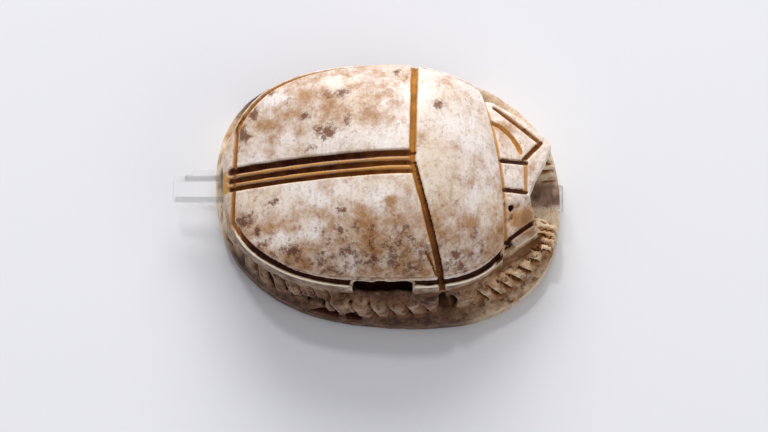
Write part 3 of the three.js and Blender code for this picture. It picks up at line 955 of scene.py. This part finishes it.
# The front is painted paler, as painted light from the front, and the tail's plate is pale. The
# ribs' crowns carry a painted highlight. Under the rod's end the strip stays brown as its painted
# shadow.
front_painted_lit = smooth_step(x, 2.5, 6.5)
pale_tail = smooth_step(-x, 7.4, 8.4) * smooth_step(y, -4.0, -1.5)
crowns_painted_highlit = (0.25 + 0.35 * smooth_step(x, 3.0, 6.0)) * crowns
pale = np.maximum(np.maximum(front_painted_lit, pale_tail), crowns_painted_highlit)
on_plate = smooth_step(1.9 - z, 0, 0.4)
pale = pale * (1 - 0.3 * front_painted_lit * on_plate)
under_rod = smooth_step(x, 7.3, 7.6) * smooth_step(0.7 - np.abs(y + 0.15), 0, 0.2) * (z < 2.2)
store(stone.data, "pale", np.clip(pale * (1 - under_rod), 0, 1))
# The plate's ledge and the rim's right flank are dull with dust.
outside = past_oval(x, y)
ledge = on_plate * (1 - pale_tail) * (1 - 0.6 * smooth_step(y, 0, 3))
flank = smooth_step(outside, 0.15, 0.24) * smooth_step(-y, 0, 2) * (z > 3.3)
store(stone.data, "dull", np.maximum(0.8 * ledge * (1 - front_painted_lit), 0.45 * flank))
# The right rim's upper edge is painted nearly white: rubbed wear and a painted highlight.
rim_top = smooth_step(outside, 0.13, 0.17) * smooth_step(0.3 - outside, 0, 0.08)
rim_top = rim_top * smooth_step(z - rim_level(x), -0.32, -0.22) * smooth_step(-y, 1.5, 3.0)
store(stone.data, "rim", rim_top * smooth_step(thorax_end_x(y) - x, -0.2, 0.1))
for polygon in stone.data.polygons:
    polygon.use_smooth = len(polygon.vertices) < CORNERS_OF_A_FLAT_FACE
print("glaze left on", round(100 * float(glaze.mean())), "% of the points")

# %% [markdown]
# ## Glazed steatite
#
# Steatite is a soft grey-white stone. It was coated with a clear alkaline glaze and fired, which
# left it hard and slightly glossy. Here the glaze is worn, so the colour is a warm pinkish white
# under tan washes and small grey-brown blots, and the bare sides are dry and brown. The finish is
# a list of coats, each laid over the last: bare stone, glaze, dust, washes and blots, then painted
# shade in hollows and wear with a painted highlight on edges, and the earth in the cuts. The
# deepest painted shade goes on top.

# %% Colours of the stone
GROUND = "#efe6e1"
GROUND_WARM = "#e2cfba"
BARE = "#ab8a70"
BARE_DARK = "#6f5340"
# Pale stone; at the front it is also painted light, and on the ribs' crowns a painted highlight.
BARE_PALE = "#f2e2c6"
BARE_DULL = "#a8957b"
TAN = "#b98d58"
BLOT = "#937059"
SPECK = "#b69a83"
EARTH_OCHRE = "#c48c42"
EARTH_BROWN = "#7d4a22"
EARTH_DARK = "#351410"
# Painted shade in hollows, rubbed edges that are also a painted highlight, and the darkest painted
# shade.
DEEP_SHADE = "#3c2516"
WORN_EDGE_AND_HIGHLIGHT = "#fff4dc"
DARKEST_PAINTED_SHADE = "#140b07"

# %% What the finish follows
# The values stored on the stone's points.
STORED = ("cut", "tone", "hollow", "crease", "edge", "rim", "tan", "brown", "glaze", "pale", "dull")
# Each noise: the size of its patches in mm, its number of finer octaves and its roughness.
NOISES = {
    "cloud": (3.2, 4, 0.55),
    "mottle": (1.1, 8, 0.74),
    "blots": (0.6, 8, 0.78),
    "grain": (0.16, 5, 0.7),
    "streak": (1.0, 5, 0.7),
}
# The streaks run across the stone, because their noise is squeezed along its length.
STREAK_SQUEEZE = (5.0, 0.8, 0.8)
# Sums of two: a stored value or a noise with its weight, and a noise that frays it with its own.
FRAYED = {
    "glazed": ("glaze", 1.0, "blots", 1.1),
    "washed": ("tan", 0.33, "mottle", 1.1),
    "blotted": ("brown", 0.34, "blots", 1.2),
    "relief": ("grain", 1.0, "blots", 0.7),
}
# Each coat over the glaze: what it follows, the values of that at which it starts and is full,
# how full it gets, its colour, and how it is laid. Without such values it follows as it is.
COATS = [
    ("dull", None, BARE_DULL, "MULTIPLY"),
    ("washed", (0.5, 0.95, 1.0), TAN, "MULTIPLY"),
    ("blotted", (0.74, 0.91, 1.0), BLOT, "MULTIPLY"),
    ("grain", (0.5, 0.72, 0.6), SPECK, "MULTIPLY"),
    ("streak", (0.5, 0.7, 0.3), SPECK, "MULTIPLY"),
    # Painted shade: points that see little sky are darkened.
    ("hollow", (0.35, 0.9, 0.9), DEEP_SHADE, "MIX"),
    ("crease", (0.25, 1.0, 0.75), EARTH_BROWN, "MIX"),
    # Wear on glazed edges and on the right rim's top, painted white together with their highlight.
    ("rubbed", (0.3, 1.0, 0.15), WORN_EDGE_AND_HIGHLIGHT, "MIX"),
    ("rim", None, WORN_EDGE_AND_HIGHLIGHT, "MIX"),
    ("seeping", None, EARTH_OCHRE, "MIX"),
]
print(len(COATS), "coats over the glaze")

# %% Glazed steatite
STEATITE_IOR = 1.52
BARE_ROUGHNESS, GLAZE_ROUGHNESS = 0.68, 0.34
# The relief that is too fine for the mesh.
GRAIN_DEEP = 0.035 * MM
SMOOTHLY = {"interpolation_type": "SMOOTHSTEP"}


def make_steatite():
    material, tree, shader, mm = new_material("glazed_steatite")
    read = {}
    for name in STORED:
        read[name] = add_node(tree, "ShaderNodeAttribute", attribute_name=name).outputs["Fac"]
    squeezed = add_node(tree, "ShaderNodeMapping", {"Vector": mm, "Scale": STREAK_SQUEEZE})
    for name, (size, detail, rough) in NOISES.items():
        place = squeezed.outputs["Vector"] if name == "streak" else mm
        inputs = {"Vector": place, "Scale": 1 / size, "Detail": detail, "Roughness": rough}
        read[name] = add_node(tree, "ShaderNodeTexNoise", inputs).outputs["Fac"]
    for name, (value, share, noise, amount) in FRAYED.items():
        inputs = {0: read[noise], 1: amount}
        frays = add_node(tree, "ShaderNodeMath", inputs, operation="MULTIPLY").outputs[0]
        inputs = {0: read[value], 1: share, 2: frays}
        read[name] = add_node(tree, "ShaderNodeMath", inputs, operation="MULTIPLY_ADD").outputs[0]

    def lay(under, over, share, span=None, way="MIX"):
        """Lays a coat over another. span is where the share starts, is full, and how full."""
        if span:
            low, high, most = span
            inputs = {"Value": share, "From Min": low, "From Max": high, "To Max": most}
            share = add_node(tree, "ShaderNodeMapRange", inputs, **SMOOTHLY).outputs[0]
        inputs = {0: share, 6: under, 7: over}
        coat = add_node(tree, "ShaderNodeMix", inputs, data_type="RGBA", blend_type=way)
        return coat.outputs[2]

    # Earth seeps out beside the cuts, least where it is darkest. Wear and a painted highlight show
    # on edges.
    inputs = {"Value": read["cut"], "From Min": 0.03, "From Max": 0.3}
    wet = add_node(tree, "ShaderNodeMapRange", inputs, **SMOOTHLY).outputs[0]
    inputs = {0: 1.1, 1: read["tone"]}
    lighter = add_node(tree, "ShaderNodeMath", inputs, operation="SUBTRACT").outputs[0]
    products = {"seeping": (wet, lighter), "rubbed": (read["edge"], read["glaze"])}
    for name, (first, second) in products.items():
        inputs = {0: first, 1: second}
        read[name] = add_node(tree, "ShaderNodeMath", inputs, operation="MULTIPLY").outputs[0]

    bare = lay(linear(BARE), linear(BARE_DARK), read["mottle"], (0.36, 0.66, 1.0))
    bare = lay(bare, linear(BARE_PALE), read["pale"])
    glaze = lay(linear(GROUND), linear(GROUND_WARM), read["cloud"], (0.38, 0.66, 1.0))
    colour = lay(bare, glaze, read["glazed"], (0.9, 1.15, 1.0))
    for follows, span, over, way in COATS:
        colour = lay(colour, linear(over), read[follows], span, way)
    earth = lay(linear(EARTH_OCHRE), linear(EARTH_BROWN), read["tone"], (0.1, 0.6, 1.0))
    earth = lay(earth, linear(EARTH_DARK), read["tone"], (0.5, 1.0, 1.0))
    earth = lay(earth, linear(EARTH_BROWN), read["grain"], (0.45, 0.7, 0.35))
    colour = lay(colour, earth, read["cut"], (0.25, 0.6, 1.0))
    # Painted shade: the deepest hollows go nearly black, over the earth too.
    colour = lay(colour, linear(DARKEST_PAINTED_SHADE), read["hollow"], (0.6, 0.95, 0.8))
    tree.links.new(colour, shader.inputs["Base Color"])

    # Glaze is glossy, least where the mottle is strong. Bare stone is dry, and earth has no shine.
    inputs = {"Value": read["mottle"], "From Min": 0.75, "From Max": 0.35}
    even = add_node(tree, "ShaderNodeMapRange", inputs, **SMOOTHLY).outputs[0]
    inputs = {0: read["glaze"], 1: even}
    gloss = add_node(tree, "ShaderNodeMath", inputs, operation="MULTIPLY").outputs[0]
    inputs = {"Value": gloss, "To Min": BARE_ROUGHNESS, "To Max": GLAZE_ROUGHNESS}
    roughness = add_node(tree, "ShaderNodeMapRange", inputs).outputs[0]
    tree.links.new(roughness, shader.inputs["Roughness"])
    inputs = {"Value": read["cut"], "To Min": 0.5, "To Max": 0.0}
    shine = add_node(tree, "ShaderNodeMapRange", inputs).outputs[0]
    tree.links.new(shine, shader.inputs["Specular IOR Level"])
    shader.inputs["IOR"].default_value = STEATITE_IOR
    inputs = {"Height": read["relief"], "Strength": 0.5, "Distance": GRAIN_DEEP}
    bump = add_node(tree, "ShaderNodeBump", inputs)
    tree.links.new(bump.outputs["Normal"], shader.inputs["Normal"])
    return material


stone.data.materials.clear()
stone.data.materials.append(make_steatite())
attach(stone, "root")
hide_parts("scarab")

# %% [markdown]
# ## The clear rod
#
# The rod is sawn from clear acrylic sheet and flame polished, so its edges are slightly rounded
# and bright. A copy of the solid is merged, its flat faces are joined and its edges bevelled. It
# is small and clean, so most of what lies behind it shows unbent: the shader lets part of the
# light straight through.

# %% The clear rod
ROD_EDGE = 0.06 * MM
# Faces that turn by less than the first angle are joined, and edges that turn by more than the
# second are bevelled. Both are in radians.
FLAT_TURN, SHARP_TURN = math.radians(1), 0.35
ACRYLIC_IOR = 1.49
# The share of the light that the shader bends. The rest goes straight through.
BENT_LIGHT = 0.28


def make_acrylic():
    material, _, shader, _ = new_material("clear_acrylic")
    shader.inputs["Base Color"].default_value = linear("#fbfcfd")
    shader.inputs["Roughness"].default_value = 0.03
    shader.inputs["IOR"].default_value = ACRYLIC_IOR
    shader.inputs["Transmission Weight"].default_value = 1.0
    shader.inputs["Alpha"].default_value = BENT_LIGHT
    return material


def make_rod():
    bm = merged_copy(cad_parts["mount_rod"])
    bmesh.ops.dissolve_limit(bm, angle_limit=FLAT_TURN, verts=bm.verts, edges=bm.edges)
    sharp = [e for e in bm.edges if len(e.link_faces) == 2 and e.calc_face_angle() > SHARP_TURN]
    bmesh.ops.bevel(
        bm, geom=sharp, offset=ROD_EDGE, segments=3, profile=0.5, affect="EDGES", material=-1
    )
    rod = joined(bm, "clear_rod")
    rod.data.materials.append(make_acrylic())
    return rod


rod = make_rod()
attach(rod, "root")
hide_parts("mount_rod")
print("rod:", len(rod.data.polygons), "faces")

# %% [markdown]
# ## Floor and light
#
# The floor is plain painted board, nearly white. A broad soft light stands low behind the
# beetle's left side, so the shadow falls long and soft towards the viewer. A weaker one opens up
# the front legs, a small lamp higher up gives the glaze its glint, and a pale sky fills the rest.

# %% Floor
FLOOR_HALF = 0.6


def make_floor():
    bm = bmesh.new()
    bmesh.ops.create_grid(bm, x_segments=1, y_segments=1, size=FLOOR_HALF)
    floor = joined(bm, "floor")
    material, _, shader, _ = new_material("painted_board")
    shader.inputs["Base Color"].default_value = linear("#e2e3e8")
    shader.inputs["Roughness"].default_value = 0.7
    floor.data.materials.append(material)
    return floor


print("floor:", round(make_floor().dimensions.x, 2), "m wide")

# %% Light
LIGHT_AWAY = 0.40
SKY_STRENGTH = 0.47


def add_light(name, bearing, height, size, power, colour):
    """A square light aimed at the amulet. bearing and height in degrees, 0 bearing is behind."""
    turn, lift = math.radians(bearing), math.radians(height)
    place = Vector(
        (-math.sin(turn) * math.cos(lift), math.cos(turn) * math.cos(lift), math.sin(lift))
    )
    data = bpy.data.lights.new(name, "AREA")
    data.size = size
    data.energy = power
    data.color = linear(colour)[:3]
    light = bpy.data.objects.new(name, data)
    bpy.context.scene.collection.objects.link(light)
    light.location = place * LIGHT_AWAY
    light.rotation_euler = (-place).to_track_quat("-Z", "Y").to_euler()


add_light("key", 0, 28, 0.30, 1.7, "#fffdfb")
add_light("fill", -115, 35, 0.25, 0.2, "#fff8ee")
add_light("glint", 20, 64, 0.03, 0.26, "#ffffff")
world = bpy.data.worlds.new("sky")
bpy.context.scene.world = world
world.use_nodes = True
sky = world.node_tree.nodes["Background"]
sky.inputs["Color"].default_value = linear("#f6f7fb")
sky.inputs["Strength"].default_value = SKY_STRENGTH
bpy.context.scene.view_settings.view_transform = "Standard"
print("lights:", [light.name for light in bpy.data.lights])
